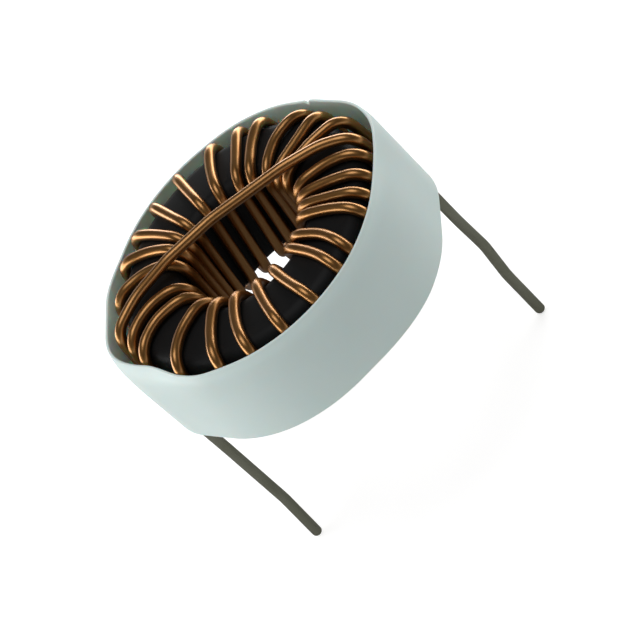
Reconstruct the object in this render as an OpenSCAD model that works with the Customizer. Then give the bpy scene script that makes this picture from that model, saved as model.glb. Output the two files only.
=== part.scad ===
// Through-hole toroidal inductor: a coated ring core, one winding of enamelled
// copper wire whose two ends are the leads, and a shrunk sleeve round the outside.
// Z is the ring's axis, the leads point down, and z = 0 is the underside of the lowest
// turns, which stand on the board. The two leads lie on the X axis.

/* [Core] */
// Outside diameter of the coated ring
core_od = 17.9; // [17.7:0.1:18.1]
// Diameter of the ring's hole
core_hole_d = 9.2; // [9.1:0.1:9.4]
// Height of the ring
core_h = 6.4; // [6.2:0.1:6.6]
// Radius of the ring's rounded edges
core_edge_r = 0.9; // [0.7:0.1:1]

/* [Winding] */
// Diameter of the wire over its enamel
wire_d = 0.7; // [0.64:0.01:0.72]
// Clearance between the wire and what it lies on
lay_gap = 0.02; // [0.01:0.01:0.03]
// Length of each lead below the turns
lead_len = 13.8; // [10:0.1:16]
// Straight length of each lead that goes through a board
lead_straight = 3.8; // [3:0.1:5]

/* [Sleeve] */
// Height of the sleeve
sleeve_h = 6.3; // [6:0.1:6.8]
// Wall of the shrunk sleeve
sleeve_wall = 0.25; // [0.2:0.05:0.4]
// Inside radius of the sleeve's corner round each lead
corner_r = 4.6; // [3:0.1:5]

/* [Hidden] */

wire_r = wire_d / 2;
core_or = core_od / 2;
core_ir = core_hole_d / 2;
core_z = core_h / 2 + lay_gap + wire_d;

// Centre line of the wire on each face of the core
outer_r = core_or + lay_gap + wire_r;
inner_r = core_ir - lay_gap - wire_r;
middle_r = (outer_r + inner_r) / 2;
top_z = core_z + core_h / 2 + lay_gap + wire_r;
bottom_z = core_z - core_h / 2 - lay_gap - wire_r;
// The wire bends a little tighter than the core's edge, so that its flats clear the core
bend_margin = 0.1;
bend_r = core_edge_r + wire_r - bend_margin;

// The leads come down outside the turns, upright below the sleeve's lower rim and leaning
// in above it, and the last wire crosses above the turns
lead_gap = 0.03;
cross_gap = 0.04;
lead_r = outer_r + wire_d + lead_gap;
lead_top_r = outer_r + wire_r / 2;
cross_z = top_z + wire_d + cross_gap;
sleeve_z = core_z - sleeve_h / 2;

// Each turn's place round the ring, in degrees: where the wire comes up the outside,
// where it is halfway over the top, and where it goes down the hole. The first turn
// comes up from its lead.
turns = [
    [5, 10, 8], [19, 19, 20], [28, 37, 31], [49, 51, 47], [60, 60, 60], [73, 77, 78],
    [92, 93, 94], [107, 109, 112], [122, 121, 124], [136, 131, 134], [154, 144, 147], [181, 169, 173],
    [191, 181, 189], [212, 204, 208], [231, 225, 221], [245, 240, 239], [260, 258, 257], [275, 273, 272],
    [289, 292, 290], [297, 303, 300], [313, 317, 317], [321, 324, 327], [330, 335, 337], [341, 349, 348]
];
last_up = 350;
last_down = 171;
n_turns = len(turns);
// How far round the ring a turn leans on its way down the hole
hole_lean = 18;

// A bend shallower than this, in degrees, is left out of a turn
least_bend = 4;
// Length of wire that the bend halfway over the top takes from each side
middle_len = 1;

function round_ring(r, angle, z) = [r * cos(angle), r * sin(angle), z];
function unit(v) = v / norm(v);
function turn_angle(a, b, c) = acos(max(-1, min(1, unit(b - a) * unit(c - b))));

// One turn's points, from the top of the outside to where it comes up again
function turn_points(i) =
    let (
        t = turns[i],
        up = round_ring(i == 0 ? lead_top_r : outer_r, t[0], top_z),
        over = round_ring(middle_r, t[1], top_z),
        down = round_ring(inner_r, t[2], top_z),
        next_up = i == n_turns - 1 ? last_up : turns[i + 1][0],
        bent = turn_angle(up, over, down) > least_bend
    )
    concat(
        [[up, bend_r]],
        bent ? [[over, middle_len / tan(turn_angle(up, over, down) / 2)]] : [],
        [[down, bend_r]],
        [[round_ring(inner_r, t[2] + hole_lean, bottom_z), bend_r]],
        [[round_ring(outer_r, next_up, bottom_z), bend_r]]
    );

// The last wire comes up the outside, climbs onto the turns, crosses the hole and goes
// down to its lead. Each place between is its X and Y as shares of outer_r, and its share
// of the climb.
cross_line = [[0.79, -0.03, 0.5], [0.52, 0.04, 1], [-0.05, 0.2, 1], [-0.42, 0.23, 1], [-0.75, 0.25, 0.45]];
cross_bend_r = 4;
cross_points = concat(
    [[round_ring(outer_r, last_up, top_z), bend_r]],
    [for (p = cross_line) [[p[0] * outer_r, p[1] * outer_r, top_z + p[2] * (cross_z - top_z)], cross_bend_r]],
    [[round_ring(lead_top_r, last_down, top_z), bend_r]]
);

// A lead's bends: how far out as a share of the wire's diameter, and the share of the
// length below the straight part. Its first point is where it starts to lean.
first_lead = [[0, 0], [0.15, 0.3], [-0.2, 0.6], [-0.2, 1]];
last_lead = [[0, 0], [0.1, 0.6], [0.5, 1]];
lead_bend_r = 4;
// The round pin ends above the first bend
pin_margin = 0.1;
pin_end = lead_straight - pin_margin;

// The swept wire's facets: sides round the wire, the angle between the rings of a bend,
// and how far its edges lie inside the round pins
wire_sides = 8;
bend_step = 30;
sweep_inset = 0.01;

function lead_points(side, shape) =
    concat(
        [[[side * lead_r, 0, sleeve_z], lead_bend_r]],
        [for (p = shape)
            let (down = lead_straight + p[1] * (lead_len - lead_straight))
            [[side * (lead_r + p[0] * wire_d), 0, -down], lead_bend_r]]
    );
function reversed(list) = [for (i = [len(list) - 1:-1:0]) list[i]];

wire_path = concat(
    reversed(lead_points(1, first_lead)),
    [for (i = [0:n_turns - 1]) each turn_points(i)],
    cross_points,
    lead_points(-1, last_lead)
);

// Length that the bend at point i takes from the wire on each side of it
function reach(path, i) =
    path[i][1] * tan(turn_angle(path[i - 1][0], path[i][0], path[i + 1][0]) / 2);

// The bend at point i, as places on the wire's centre line: each is a point and a direction
function bend(path, i) =
    let (
        u = unit(path[i][0] - path[i - 1][0]),
        v = unit(path[i + 1][0] - path[i][0]),
        inward = unit(v - (u * v) * u),
        centre = path[i][0] - reach(path, i) * u + path[i][1] * inward,
        angle = acos(u * v),
        steps = ceil(angle / bend_step)
    )
    [for (k = [0:steps]) let (a = angle * k / steps)
        [centre + path[i][1] * (sin(a) * u - cos(a) * inward), cos(a) * u + sin(a) * inward]];

// The whole centre line, from the tip of one lead to the tip of the other
function centre_line(path) =
    let (last = len(path) - 1)
    concat(
        [[path[0][0], unit(path[1][0] - path[0][0])]],
        [for (i = [1:last - 1]) each bend(path, i)],
        [[path[last][0], unit(path[last][0] - path[last - 1][0])]]
    );

// A direction square to each place on the line, turned as little as possible from one to the next
function square_to(v, side) = unit(side - (side * v) * v);
function sides(line) =
    [for (i = 0, side = square_to(line[0][1], [0, 1, 0]);
          i < len(line);
          i = i + 1, side = i < len(line) ? square_to(line[i][1], side) : side)
        side];

// A round wire swept along a centre line, with its ends closed
module swept_wire(line, r, n) {
    side = sides(line);
    last = len(line) - 1;
    points = [
        for (i = [0:last], k = [0:n - 1])
            let (a = 360 * k / n)
            line[i][0] + r * (cos(a) * side[i] + sin(a) * cross(line[i][1], side[i]))
    ];
    walls = [
        for (i = [0:last - 1], k = [0:n - 1])
            let (here = i * n + k, beside = i * n + (k + 1) % n)
            each [[here, here + n, beside], [beside, here + n, beside + n]]
    ];
    start_cap = [for (k = [0:n - 1]) k];
    end_cap = [for (k = [n - 1:-1:0]) last * n + k];
    polyhedron(points, concat([start_cap, end_cap], walls));
}

// The round, straight part of a lead that goes through the board
module board_pin(x) {
    translate([x, 0, -pin_end])
    cylinder(h = pin_end, r = wire_r, $fn = 32);
}

// The ring's section, with its four edges rounded
module core_section() {
    wide = core_or - core_ir;
    translate([core_ir, 0])
    union() {
        translate([core_edge_r, -core_h / 2])
        square([wide - 2 * core_edge_r, core_h]);
        translate([0, core_edge_r - core_h / 2])
        square([wide, core_h - 2 * core_edge_r]);
        for (x = [core_edge_r, wide - core_edge_r], y = [-1, 1]) {
            translate([x, y * (core_h / 2 - core_edge_r)])
            circle(r = core_edge_r, $fn = 48);
        }
    }
}

module core() {
    color([0.08, 0.09, 0.09])
    translate([0, 0, core_z])
    rotate_extrude($fn = 128)
    core_section();
}

module winding() {
    color([0.6, 0.38, 0.18])
    union() {
        swept_wire(centre_line(wire_path), wire_r - sweep_inset, wire_sides);
        board_pin(lead_r);
        board_pin(-lead_r);
    }
}

// The sleeve's outline: a circle drawn out to a rounded corner over each lead
module sleeve_outline(r, tip_r, tip_x) {
    touch = acos((r - tip_r) / tip_x);
    circle(r = r, $fn = 128);
    for (side = [0, 180]) {
        rotate(side) {
            translate([tip_x, 0])
            circle(r = tip_r, $fn = 48);
            polygon([
                [r * cos(touch), -r * sin(touch)],
                [tip_x + tip_r * cos(touch), -tip_r * sin(touch)],
                [tip_x + tip_r * cos(touch), tip_r * sin(touch)],
                [r * cos(touch), r * sin(touch)]
            ]);
        }
    }
}

module sleeve() {
    inside_r = outer_r + wire_r + lay_gap;
    tip_x = lead_r + wire_r + lay_gap - corner_r;
    color([0.75, 0.79, 0.76])
    translate([0, 0, sleeve_z])
    linear_extrude(sleeve_h)
    difference() {
        sleeve_outline(inside_r + sleeve_wall, corner_r + sleeve_wall, tip_x);
        sleeve_outline(inside_r, corner_r, tip_x);
    }
}

core();
winding();
sleeve();
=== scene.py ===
import math

import bpy
from mathutils import Matrix, Vector, noise


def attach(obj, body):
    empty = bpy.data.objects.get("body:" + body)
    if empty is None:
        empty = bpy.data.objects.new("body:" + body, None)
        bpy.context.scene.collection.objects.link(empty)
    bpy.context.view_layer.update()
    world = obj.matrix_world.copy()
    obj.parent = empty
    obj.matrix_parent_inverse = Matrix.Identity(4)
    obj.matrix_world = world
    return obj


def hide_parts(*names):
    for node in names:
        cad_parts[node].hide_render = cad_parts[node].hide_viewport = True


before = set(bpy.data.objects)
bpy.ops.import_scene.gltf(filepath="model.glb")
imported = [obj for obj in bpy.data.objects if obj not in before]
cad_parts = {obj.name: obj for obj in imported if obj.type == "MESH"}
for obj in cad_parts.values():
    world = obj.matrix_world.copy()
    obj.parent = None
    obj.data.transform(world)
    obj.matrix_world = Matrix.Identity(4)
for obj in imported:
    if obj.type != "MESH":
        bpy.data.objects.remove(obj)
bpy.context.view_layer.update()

scene = bpy.context.scene
scene.view_settings.view_transform = "Standard"


# The camera looks down on the part from the front, from far off through a long lens. It is
# rolled, so that the leads run down to the right. All sizes and places are in millimetres
# until they reach Blender.

MM = 0.001
SENSOR_WIDTH = 36.0
PHOTO_WIDTH = 640
FOCAL_PIXELS = 2600
VIEW_AZIMUTH = 2.7
VIEW_ELEVATION = 38.5
VIEW_DISTANCE = 155.0
VIEW_ROLL = 47.0
AIM = Vector((-0.1, -3.9, 1.47))


def add_camera():
    azimuth = math.radians(VIEW_AZIMUTH)
    elevation = math.radians(VIEW_ELEVATION)
    level = Vector((math.sin(azimuth), -math.cos(azimuth), 0))
    towards = math.cos(elevation) * level + math.sin(elevation) * Vector((0, 0, 1))
    data = bpy.data.cameras.new("camera")
    data.sensor_width = SENSOR_WIDTH
    data.lens = FOCAL_PIXELS * SENSOR_WIDTH / PHOTO_WIDTH
    data.clip_start = 0.005
    data.clip_end = 10
    camera = bpy.data.objects.new("camera", data)
    scene.collection.objects.link(camera)
    upright = towards.to_track_quat("Z", "Y").to_matrix()
    turned = upright @ Matrix.Rotation(-math.radians(VIEW_ROLL), 3, "Z")
    camera.matrix_world = Matrix.Translation((AIM + VIEW_DISTANCE * towards) * MM) @ turned.to_4x4()
    scene.camera = camera


add_camera()


# The core is one ring of pressed iron powder with rounded edges. It has a sprayed epoxy
# coating, which is black, dull and slightly uneven. The winding holds it.

CORE_OUTSIDE_R = 8.95
CORE_HOLE_R = 4.6
CORE_HEIGHT = 6.4
CORE_EDGE_R = 0.9
WIRE_D = 0.7
LAY_GAP = 0.02
CORE_MIDDLE_Z = CORE_HEIGHT / 2 + LAY_GAP + WIRE_D
CORE_STEPS = 240
EDGE_STEPS = 10
COAT_WAVE = 0.02
COAT_WAVE_LENGTH = 1.5
PEEL_GRAIN = 0.25
PEEL_DEPTH = 0.02
COAT_PATCH = 3


def linear(hex_colour):
    channels = [int(hex_colour[i:i + 2], 16) / 255 for i in (1, 3, 5)]
    return tuple(c / 12.92 if c <= 0.04045 else ((c + 0.055) / 1.055) ** 2.4 for c in channels) + (1.0,)


def add_node(tree, kind, settings=None, **inputs):
    """Adds a node. An input's value is a number, a colour or another node's output."""
    node = tree.nodes.new(kind)
    for name, value in (settings or {}).items():
        setattr(node, name, value)
    for name, value in inputs.items():
        socket = node.inputs[int(name[1:])] if name[0] == "_" else node.inputs[name.replace("_", " ")]
        if isinstance(value, bpy.types.NodeSocket):
            tree.links.new(value, socket)
        else:
            socket.default_value = value
    return node


def new_material(name):
    material = bpy.data.materials.new(name)
    material.use_nodes = True
    material.node_tree.nodes.clear()
    return material, material.node_tree


def add_piece(name, points, faces, material):
    mesh = bpy.data.meshes.new(name)
    mesh.from_pydata([Vector(p) * MM for p in points], [], faces)
    mesh.polygons.foreach_set("use_smooth", [True] * len(mesh.polygons))
    mesh.materials.append(material)
    mesh.validate()
    piece = bpy.data.objects.new(name, mesh)
    scene.collection.objects.link(piece)
    return piece


def skin_rings(rings, joined):
    """Quads between rings of as many points each, the last joined to the first or both ends capped."""
    size = len(rings[0])
    count = len(rings)
    faces = []
    for i in range(count if joined else count - 1):
        here = i * size
        beyond = (i + 1) % count * size
        for k in range(size):
            beside = (k + 1) % size
            faces.append((here + k, here + beside, beyond + beside, beyond + k))
    if not joined:
        faces.append(tuple(range(size))[::-1])
        faces.append(tuple((count - 1) * size + k for k in range(size)))
    return [p for ring in rings for p in ring], faces


def round_section(half_wide, half_high, edge_r, steps):
    """A rectangle with rounded corners, as offsets from its middle, anticlockwise."""
    section = []
    for corner, (side, up) in enumerate(((1, 1), (-1, 1), (-1, -1), (1, -1))):
        for k in range(steps + 1):
            angle = math.radians(90 * (corner + k / steps))
            x = side * (half_wide - edge_r) + edge_r * math.cos(angle)
            section.append((x, up * (half_high - edge_r) + edge_r * math.sin(angle)))
    return section


def epoxy_coating():
    """Sprayed epoxy: near black and dull, with a fine orange peel that breaks up what it reflects."""
    material, tree = new_material("sprayed_epoxy")
    place = add_node(tree, "ShaderNodeTexCoord").outputs["Object"]
    peel = add_node(tree, "ShaderNodeTexNoise", Vector=place, Scale=1 / (PEEL_GRAIN * MM), Detail=3.0)
    patches = add_node(tree, "ShaderNodeTexNoise", Vector=place, Scale=1 / (COAT_PATCH * MM), Detail=2.0)
    tint = add_node(tree, "ShaderNodeMix", {"data_type": "RGBA"}, Factor=patches.outputs["Fac"],
                    _6=linear("#08090A"), _7=linear("#101214"))
    bump = add_node(tree, "ShaderNodeBump", Strength=0.12, Distance=PEEL_DEPTH * MM,
                    Height=peel.outputs["Fac"])
    shader = add_node(tree, "ShaderNodeBsdfPrincipled", Base_Color=tint.outputs[2], Roughness=0.6, IOR=1.4,
                      Normal=bump.outputs["Normal"])
    add_node(tree, "ShaderNodeOutputMaterial", Surface=shader.outputs["BSDF"])
    return material


def coated_core():
    half_wide = (CORE_OUTSIDE_R - CORE_HOLE_R) / 2
    middle_r = (CORE_OUTSIDE_R + CORE_HOLE_R) / 2
    section = round_section(half_wide, CORE_HEIGHT / 2, CORE_EDGE_R, EDGE_STEPS)
    rings = []
    for i in range(CORE_STEPS):
        angle = 2 * math.pi * i / CORE_STEPS
        ring = []
        for across, up in section:
            around = Vector((math.cos(angle), math.sin(angle), 0))
            at = (middle_r + across) * around + Vector((0, 0, CORE_MIDDLE_Z + up))
            inwards = (Vector((0, 0, -up)) - across * around).normalized()
            ring.append(at + COAT_WAVE * (0.5 + 0.5 * noise.noise(at / COAT_WAVE_LENGTH)) * inwards)
        rings.append(ring)
    points, faces = skin_rings(rings, joined=True)
    return add_piece("coated_core", points, faces, epoxy_coating())


core = coated_core()
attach(core, "root")
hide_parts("core")


# The winding is one copper wire under clear amber enamel, laid by hand in one layer of
# 24 turns. One end is the first lead, and the other crosses the hole and is the last lead.
# Both leads were dipped in solder up to the sleeve, and are slightly bent.

OUTER_R = CORE_OUTSIDE_R + LAY_GAP + WIRE_D / 2
INNER_R = CORE_HOLE_R - LAY_GAP - WIRE_D / 2
MIDDLE_R = (OUTER_R + INNER_R) / 2
TOP_Z = CORE_MIDDLE_Z + CORE_HEIGHT / 2 + LAY_GAP + WIRE_D / 2
BOTTOM_Z = CORE_MIDDLE_Z - CORE_HEIGHT / 2 - LAY_GAP - WIRE_D / 2
BEND_R = CORE_EDGE_R + WIRE_D / 2
LEAD_GAP = 0.03
LEAD_R = OUTER_R + WIRE_D + LEAD_GAP
LEAD_TOP_R = OUTER_R + WIRE_D / 4
LEAD_LENGTH = 13.8
LEAD_STRAIGHT = 3.8
LEAD_BEND_R = 4.0
CROSS_GAP = 0.04
CROSS_Z = TOP_Z + WIRE_D + CROSS_GAP
CROSS_BEND_R = 4.0
SLEEVE_HEIGHT = 6.3
SLEEVE_Z = CORE_MIDDLE_Z - SLEEVE_HEIGHT / 2
TIP_R = 0.25
TIP_STEPS = 4
TINNED_LENGTH = LEAD_LENGTH + SLEEVE_Z
TIN_FADE = 0.4
COPPER_PATCH = 2.5
SOLDER_LUMP = 0.4
SOLDER_DRAWN = (1, 1, 0.2)
SOLDER_DEPTH = 0.25
WIRE_SIDES = 18
WIRE_STEP = 0.16
HOLE_LEAN = 18
SWING_EASING = 50
SOFTENING = 3
JOIN_POINTS = 10

# Degrees round the ring: up the outside, halfway over the top, down the hole
TURNS = (
    (5, 10, 8), (19, 19, 20), (28, 37, 31), (49, 51, 47), (60, 60, 60), (73, 77, 78),
    (92, 93, 94), (107, 109, 112), (122, 121, 124), (136, 131, 134), (154, 144, 147), (181, 169, 173),
    (191, 181, 189), (212, 204, 208), (231, 225, 221), (245, 240, 239), (260, 258, 257), (275, 273, 272),
    (289, 292, 290), (297, 303, 300), (313, 317, 317), (321, 324, 327), (330, 335, 337), (341, 349, 348),
)
LAST_UP = 350
LAST_DOWN = 171

# X and Y as shares of OUTER_R, and the share of the climb onto the turns
CROSS_LINE = ((0.79, -0.03, 0.5), (0.52, 0.04, 1), (-0.05, 0.2, 1), (-0.42, 0.23, 1), (-0.75, 0.25, 0.45))

# How far out as a share of WIRE_D, and the share of the length below the straight part
FIRST_LEAD = ((0, 0), (0.15, 0.3), (-0.2, 0.6), (-0.2, 1))
LAST_LEAD = ((0, 0), (0.1, 0.6), (0.5, 1))


def round_ring(radius, degrees, z):
    angle = math.radians(degrees)
    return Vector((radius * math.cos(angle), radius * math.sin(angle), z))


def bent_line(points):
    """A line that is straight between its points, with an arc of the stated radius at each."""
    line = [points[0][0]]
    for i in range(1, len(points) - 1):
        at, radius = points[i]
        before = (at - points[i - 1][0]).normalized()
        after = (points[i + 1][0] - at).normalized()
        bend = before.angle(after)
        inwards = (after - before.dot(after) * before).normalized()
        centre = at - radius * math.tan(bend / 2) * before + radius * inwards
        steps = math.ceil(radius * bend / WIRE_STEP) + 1
        for k in range(steps + 1):
            angle = bend * k / steps
            line.append(centre + radius * (math.sin(angle) * before - math.cos(angle) * inwards))
    line.append(points[-1][0])
    return line


def even_line(line):
    """The same line with its points WIRE_STEP apart."""
    even = [line[0]]
    left = WIRE_STEP
    for a, b in zip(line, line[1:]):
        length = (b - a).length
        along = left
        while along <= length:
            even.append(a.lerp(b, along / length))
            along += WIRE_STEP
        left = along - length
    return even


def eased(values, times):
    """The same numbers or points, each drawn towards its neighbours as stiff wire is."""
    for _ in range(times):
        inside = [(a + 2 * b + c) / 4 for a, b, c in zip(values, values[1:], values[2:])]
        values = [values[0]] + inside + [values[-1]]
    return values


def section_sides():
    """The wire's path round the ring's section, from the axis and up, as four sides that meet
    halfway round the bends: over the top, down the hole, along the bottom and up the outside."""
    loop = round_section((OUTER_R - INNER_R) / 2, (TOP_Z - BOTTOM_Z) / 2, BEND_R, EDGE_STEPS)
    loop = [Vector((MIDDLE_R + across, CORE_MIDDLE_Z + up)) for across, up in loop]
    half = EDGE_STEPS // 2
    starts = [half + corner * (EDGE_STEPS + 1) for corner in range(4)]
    loop += loop[:half + 1]
    return [even_line(loop[start:start + EDGE_STEPS + 2]) for start in starts]


def wound_line():
    """The turns' centre line. Its place round the ring swings smoothly from bend to bend."""
    sides = section_sides()
    places = []
    swing = []
    for i, (outside, over, inside) in enumerate(TURNS):
        next_up = LAST_UP if i == len(TURNS) - 1 else TURNS[i + 1][0]
        leant = inside + HOLE_LEAN
        ways = ((outside, over, inside), (inside, (inside + leant) / 2, leant),
                (leant, (leant + next_up) / 2, next_up), (next_up, next_up, next_up))
        for side, (start, middle, end) in zip(sides, ways):
            for k, place in enumerate(side):
                share = 2 * k / len(side)
                first_half = min(share, 1) * (middle - start)
                second_half = max(share - 1, 0) * (end - middle)
                places.append(place)
                swing.append(start + first_half + second_half)
    swing = eased(swing, SWING_EASING)
    return [round_ring(place.x, degrees, place.y) for place, degrees in zip(places, swing)]


def lead_points(side, bends):
    points = [(Vector((side * LEAD_R, 0, SLEEVE_Z)), LEAD_BEND_R)]
    for out, share in bends:
        down = LEAD_STRAIGHT + share * (LEAD_LENGTH - LEAD_STRAIGHT)
        points.append((Vector((side * (LEAD_R + out * WIRE_D), 0, -down)), LEAD_BEND_R))
    return points


def whole_line():
    wound = wound_line()[JOIN_POINTS:-JOIN_POINTS]
    lead_in = lead_points(1, FIRST_LEAD)[::-1]
    lead_in += [(round_ring(LEAD_TOP_R, TURNS[0][0], TOP_Z), BEND_R), (wound[0], 0)]
    lead_out = [(wound[-1], 0), (round_ring(OUTER_R, LAST_UP, TOP_Z), BEND_R)]
    for x, y, climb in CROSS_LINE:
        z = TOP_Z + climb * (CROSS_Z - TOP_Z)
        lead_out.append((Vector((x * OUTER_R, y * OUTER_R, z)), CROSS_BEND_R))
    lead_out.append((round_ring(LEAD_TOP_R, LAST_DOWN, TOP_Z), BEND_R))
    lead_out += lead_points(-1, LAST_LEAD)
    return eased(even_line(bent_line(lead_in) + wound[1:] + bent_line(lead_out)[1:]), SOFTENING)


def rounded_tip(tip, outwards):
    """The places and radii past a cut end whose edge is rounded."""
    angles = [math.radians(90 * k / TIP_STEPS) for k in range(1, TIP_STEPS + 1)]
    return [(tip + TIP_R * math.sin(a) * outwards, WIRE_D / 2 - TIP_R * (1 - math.cos(a))) for a in angles]


def swept_wire(name, line, material):
    first = rounded_tip(line[0], (line[0] - line[1]).normalized())[::-1]
    last = rounded_tip(line[-1], (line[-1] - line[-2]).normalized())
    stations = first + [(at, WIRE_D / 2) for at in line] + last
    middles = [at for at, _ in stations]
    side = Vector((0, 1, 0))
    rings = []
    for i, (at, radius) in enumerate(stations):
        along = (middles[min(i + 1, len(middles) - 1)] - middles[max(i - 1, 0)]).normalized()
        side = (side - side.dot(along) * along).normalized()
        across = along.cross(side)
        angles = [2 * math.pi * k / WIRE_SIDES for k in range(WIRE_SIDES)]
        rings.append([at + radius * (math.cos(a) * side + math.sin(a) * across) for a in angles])
    points, faces = skin_rings(rings, joined=False)
    return add_piece(name, points, faces, material)


def mark_from_tip(piece, line):
    """Stores at each vertex how far along the wire the nearer tip is."""
    length = WIRE_STEP * len(line)
    rings = len(piece.data.vertices) // WIRE_SIDES
    marks = piece.data.attributes.new("from_tip", "FLOAT", "POINT")
    for i in range(rings):
        along = length * i / rings
        for k in range(WIRE_SIDES):
            marks.data[i * WIRE_SIDES + k].value = min(along, length - along)


def enamelled_copper():
    """Copper seen through clear amber enamel: golden where it shines and brown in shade. Below
    the sleeve it is tinned: an olive grey, a little glossier and lumpy, because the solder set
    as it ran down the wire."""
    material, tree = new_material("enamelled_copper")
    place = add_node(tree, "ShaderNodeTexCoord").outputs["Object"]
    from_tip = add_node(tree, "ShaderNodeAttribute", {"attribute_name": "from_tip"})
    tinned = add_node(tree, "ShaderNodeMapRange", Value=from_tip.outputs["Fac"],
                      From_Min=TINNED_LENGTH + TIN_FADE, From_Max=TINNED_LENGTH)
    patches = add_node(tree, "ShaderNodeTexNoise", Vector=place, Scale=1 / (COPPER_PATCH * MM), Detail=2.0)
    copper = add_node(tree, "ShaderNodeMix", {"data_type": "RGBA"}, Factor=patches.outputs["Fac"],
                      _6=linear("#AA743C"), _7=linear("#C48E4D"))
    tin = add_node(tree, "ShaderNodeMix", {"data_type": "RGBA"}, Factor=patches.outputs["Fac"],
                   _6=linear("#D2D4B8"), _7=linear("#F0F2DC"))
    tint = add_node(tree, "ShaderNodeMix", {"data_type": "RGBA"}, Factor=tinned.outputs["Result"],
                    _6=copper.outputs[2], _7=tin.outputs[2])
    rough = add_node(tree, "ShaderNodeMapRange", Value=tinned.outputs["Result"], To_Min=0.35, To_Max=0.25)
    enamel = add_node(tree, "ShaderNodeMapRange", Value=tinned.outputs["Result"], To_Min=0.5, To_Max=0.0)
    drawn = add_node(tree, "ShaderNodeVectorMath", {"operation": "MULTIPLY"}, _0=place, _1=SOLDER_DRAWN)
    lumps = add_node(tree, "ShaderNodeTexNoise", Vector=drawn.outputs["Vector"], Scale=1 / (SOLDER_LUMP * MM),
                     Detail=2.0)
    bump = add_node(tree, "ShaderNodeBump", Strength=tinned.outputs["Result"], Distance=SOLDER_DEPTH * MM,
                    Height=lumps.outputs["Fac"])
    shader = add_node(tree, "ShaderNodeBsdfPrincipled", Base_Color=tint.outputs[2], Metallic=1.0,
                      Roughness=rough.outputs["Result"], Coat_Weight=enamel.outputs["Result"],
                      Coat_Roughness=0.22, Coat_IOR=1.65, Normal=bump.outputs["Normal"])
    add_node(tree, "ShaderNodeOutputMaterial", Surface=shader.outputs["BSDF"])
    return material


wire_line = whole_line()
winding = swept_wire("wound_wire", wire_line, enamelled_copper())
mark_from_tip(winding, wire_line)
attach(winding, "root")
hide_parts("winding")


# The sleeve is a short length of pale heat-shrink tube, shrunk tight round the turns. The
# leads draw it out to a soft corner on each side. Its upper rim curls in over the turns'
# bends, both cut rims wave, and the knife left a small nick at the back.

SLEEVE_WALL = 0.18
SLEEVE_SLACK = 0.12
SLEEVE_INSIDE_R = OUTER_R + WIRE_D / 2 + LAY_GAP
CORNER_R = 4.6
CORNER_X = LEAD_R + WIRE_D / 2 + LAY_GAP - CORNER_R
SLEEVE_STEPS = 720
RIM_EASING = 60
RIM_EDGE_R = 0.07
RIM_STEPS = 4
WALL_STEPS = 24
CURL = 0.35
CURL_SHARE = 0.16
PULL_SHARE = 0.4
RIM_RIPPLE = 0.03
RIPPLES_ROUND = 3
UPPER_RIPPLE = Vector((0, 0, 3))
LOWER_RIPPLE = Vector((0, 0, 7))
NICK_AT = 28.5
NICK_HALF = 1.4
NICK_DEPTH = 0.35
TUBE_GRAIN = 0.3
TUBE_GRAIN_DEPTH = 0.02
TUBE_PATCH = 5

# Degrees round the sleeve, and millimetres there
UPPER_RIM = ((0, 0.2), (20, 0.3), (27, 0.4), (31, 0.15), (50, 0.1), (75, 0), (130, 0), (150, 0.25),
             (168, 0.25), (185, 0.05), (240, 0), (300, 0), (340, 0.05))
LOWER_RIM = ((0, -0.4), (60, 0), (130, 0), (170, -0.3), (190, -0.4), (215, -0.25), (235, -0.08), (250, 0.05),
             (262, 0.15), (272, 0.25), (283, 0.08), (295, -0.15), (305, -0.35), (325, -0.5), (345, -0.5))
RIM_PULL = ((0, 0), (176, 0), (187, -0.35), (195, -0.45), (203, -0.24), (211, 0), (222, 0.15), (232, 0),
            (340, 0))

# Degrees round the sleeve, and the share of the curl there
CURL_ROUND = ((0, 0.3), (15, 0.1), (50, 0), (80, 0.5), (130, 0.5), (150, 0), (172, 0.3), (190, 1), (240, 1),
              (325, 1), (340, 0.3))


def round_values(places):
    """The value at each step round the sleeve, which passes smoothly from place to place."""
    places = places + ((places[0][0] + 360, places[0][1]),)
    values = []
    for i in range(SLEEVE_STEPS):
        degrees = 360 * i / SLEEVE_STEPS
        for (before, low), (after, high) in zip(places, places[1:]):
            if before <= degrees < after:
                values.append(low + (high - low) * (degrees - before) / (after - before))
    return eased(values, RIM_EASING)


def sleeve_reach(angle, out):
    """How far the outline lies from the axis, at an angle: a circle drawn out to a rounded
    corner at each end of the X axis, with a straight stretch between them."""
    side = abs(math.cos(angle))
    up = abs(math.sin(angle))
    round_r = SLEEVE_INSIDE_R + out
    corner_r = CORNER_R + out
    touch = math.acos((round_r - corner_r) / CORNER_X)
    on_corner = math.atan2(corner_r * math.sin(touch), CORNER_X + corner_r * math.cos(touch))
    here = math.atan2(up, side)
    if here >= touch:
        return round_r
    if here >= on_corner:
        return round_r / (side * math.cos(touch) + up * math.sin(touch))
    return CORNER_X * side + math.sqrt(corner_r ** 2 - (CORNER_X * up) ** 2)


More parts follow.
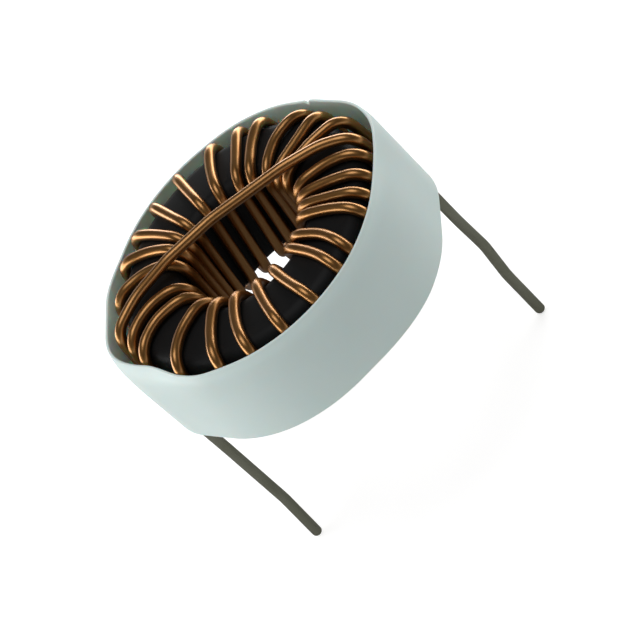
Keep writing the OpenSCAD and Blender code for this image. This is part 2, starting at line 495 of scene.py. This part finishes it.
def shrink_tube():
    """Shrunk polyolefin: milky, satin and faintly green. Some light goes through the wall, the
    red part furthest, so the inner side is warmer. The grain left by the shrinking is finer
    than a render shows, so it is drawn coarser."""
    material, tree = new_material("shrink_tube")
    place = add_node(tree, "ShaderNodeTexCoord").outputs["Object"]
    grain = add_node(tree, "ShaderNodeTexNoise", Vector=place, Scale=1 / (TUBE_GRAIN * MM), Detail=4.0)
    patches = add_node(tree, "ShaderNodeTexNoise", Vector=place, Scale=1 / (TUBE_PATCH * MM), Detail=2.0)
    tint = add_node(tree, "ShaderNodeMix", {"data_type": "RGBA"}, Factor=patches.outputs["Fac"],
                    _6=linear("#D8E7E4"), _7=linear("#E0EEEB"))
    bump = add_node(tree, "ShaderNodeBump", Strength=0.15, Distance=TUBE_GRAIN_DEPTH * MM,
                    Height=grain.outputs["Fac"])
    shader = add_node(tree, "ShaderNodeBsdfPrincipled", Base_Color=tint.outputs[2], Roughness=0.5, IOR=1.5,
                      Subsurface_Weight=1.0, Subsurface_Radius=(1.0, 0.77, 0.68), Subsurface_Scale=0.18 * MM,
                      Normal=bump.outputs["Normal"])
    add_node(tree, "ShaderNodeOutputMaterial", Surface=shader.outputs["BSDF"])
    return material


def sleeve_section():
    """The wall's section as how far out it lies and how high: up the outside, down the inside."""
    corner = [math.radians(90 * k / RIM_STEPS) for k in range(RIM_STEPS + 1)]
    top = [(SLEEVE_WALL - RIM_EDGE_R * (1 - math.cos(a)), 1, RIM_EDGE_R * (math.sin(a) - 1)) for a in corner]
    top += [(RIM_EDGE_R * (1 - math.cos(a)), 1, RIM_EDGE_R * (math.sin(a) - 1)) for a in corner[::-1]]
    bottom = [(out, 0, -lift) for out, _, lift in top[::-1]]
    rise = [k / WALL_STEPS for k in range(1, WALL_STEPS)]
    outside = [(SLEEVE_WALL, up, 0) for up in rise]
    inside = [(0, up, 0) for up in rise[::-1]]
    return outside + top + inside + bottom


def shrunk_sleeve():
    section = sleeve_section()
    lows = round_values(LOWER_RIM)
    highs = round_values(UPPER_RIM)
    curls = round_values(CURL_ROUND)
    pulls = round_values(RIM_PULL)
    rings = []
    for i in range(SLEEVE_STEPS):
        degrees = 360 * i / SLEEVE_STEPS
        angle = math.radians(degrees)
        around = Vector((math.cos(angle), math.sin(angle), 0))
        nick = NICK_DEPTH * max(0, 1 - abs(degrees - NICK_AT) / NICK_HALF)
        low = lows[i] + RIM_RIPPLE * noise.noise(RIPPLES_ROUND * around + LOWER_RIPPLE)
        high = SLEEVE_HEIGHT + highs[i] - nick
        high += RIM_RIPPLE * noise.noise(RIPPLES_ROUND * around + UPPER_RIPPLE)
        ring = []
        for out, up, lift in section:
            curled = max(0, (up - 1) / CURL_SHARE + 1) ** 2
            pulled = max(0, (up - 1) / PULL_SHARE + 1) ** 2
            reach = sleeve_reach(angle, SLEEVE_SLACK + out) - CURL * curls[i] * curled + pulls[i] * pulled
            ring.append(reach * around + Vector((0, 0, SLEEVE_Z + low + (high - low) * up + lift)))
        rings.append(ring)
    points, faces = skin_rings(rings, joined=True)
    return add_piece("shrunk_sleeve", points, faces, shrink_tube())


sleeve = shrunk_sleeve()
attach(sleeve, "root")
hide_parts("sleeve")


# The floor is a plain pale sheet just below the leads' tips. The camera sees it and the room as
# white, and the part's shadow stays on it. Two long, low lamps stand to the left and right,
# a little behind the part, and shiny surfaces see a dim room with a bright strip low down. In
# reflections the floor is painted a darker grey: painted shade that stands for the shade under the part.

FLOOR_GAP = 0.05
FLOOR_Z = -LEAD_LENGTH - TIP_R - FLOOR_GAP
FLOOR_HALF = 3000.0
FLOOR_GLOW = 0.5
SKY_LIGHT = 0.44
SKY_GLOW = 0.05
HORIZON_GLOW = 1.0
HORIZON_TOP = 0.1
SKY_BOTTOM = 0.35


def add_floor():
    material, tree = new_material("white_floor")
    ray = add_node(tree, "ShaderNodeLightPath")
    paper = add_node(tree, "ShaderNodeBsdfDiffuse", Color=linear("#EDEDED"))
    glow = add_node(tree, "ShaderNodeEmission", Color=(1, 1, 1, 1), Strength=FLOOR_GLOW)
    both = add_node(tree, "ShaderNodeAddShader", _0=paper.outputs["BSDF"], _1=glow.outputs["Emission"])
    # Painted shade: glossy rays see the floor in a darker grey, as if it all lay in the part's shade
    painted_shade_grey = add_node(tree, "ShaderNodeBsdfDiffuse", Color=linear("#747474"))
    lit = add_node(tree, "ShaderNodeMixShader", _0=ray.outputs["Is Glossy Ray"], _1=paper.outputs["BSDF"],
                   _2=painted_shade_grey.outputs["BSDF"])
    shown = add_node(tree, "ShaderNodeMixShader", _0=ray.outputs["Is Camera Ray"], _1=lit.outputs["Shader"],
                     _2=both.outputs["Shader"])
    add_node(tree, "ShaderNodeOutputMaterial", Surface=shown.outputs["Shader"])
    corners = [(x * FLOOR_HALF, y * FLOOR_HALF, FLOOR_Z) for x, y in ((-1, -1), (1, -1), (1, 1), (-1, 1))]
    floor = add_piece("floor", corners, [(0, 1, 2, 3)], material)


def add_world():
    world = bpy.data.worlds.new("white_room")
    world.use_nodes = True
    tree = world.node_tree
    tree.nodes.clear()
    ray = add_node(tree, "ShaderNodeLightPath")
    place = add_node(tree, "ShaderNodeTexCoord")
    height = add_node(tree, "ShaderNodeSeparateXYZ", Vector=place.outputs["Generated"])
    horizon = add_node(tree, "ShaderNodeMapRange", Value=height.outputs["Z"], From_Min=HORIZON_TOP,
                       From_Max=SKY_BOTTOM, To_Min=HORIZON_GLOW, To_Max=SKY_GLOW)
    seen = add_node(tree, "ShaderNodeMath", {"operation": "MAXIMUM"}, _0=ray.outputs["Is Camera Ray"],
                    _1=ray.outputs["Is Transmission Ray"])
    mirrored = add_node(tree, "ShaderNodeMix", Factor=ray.outputs["Is Glossy Ray"], _2=SKY_LIGHT,
                        _3=horizon.outputs["Result"])
    strength = add_node(tree, "ShaderNodeMix", Factor=seen.outputs["Value"], _2=mirrored.outputs["Result"],
                        _3=1.0)
    sky = add_node(tree, "ShaderNodeBackground", Color=(1, 1, 1, 1), Strength=strength.outputs["Result"])
    add_node(tree, "ShaderNodeOutputWorld", Surface=sky.outputs["Background"])
    scene.world = world


def add_lamp(name, place, width, height, power):
    """A soft lamp that faces the part."""
    data = bpy.data.lights.new(name, "AREA")
    data.shape = "RECTANGLE"
    data.size = width * MM
    data.size_y = height * MM
    data.energy = power
    lamp = bpy.data.objects.new(name, data)
    scene.collection.objects.link(lamp)
    at = Vector(place)
    lamp.matrix_world = Matrix.Translation(at * MM) @ at.to_track_quat("Z", "Y").to_matrix().to_4x4()


add_floor()
add_world()
add_lamp("left_lamp", (-141, 51, 18), 220, 75, 0.165)
add_lamp("right_lamp", (98, 113, 18), 220, 75, 0.19)
add_lamp("top_lamp", (0, -10, 160), 90, 90, 0.05)
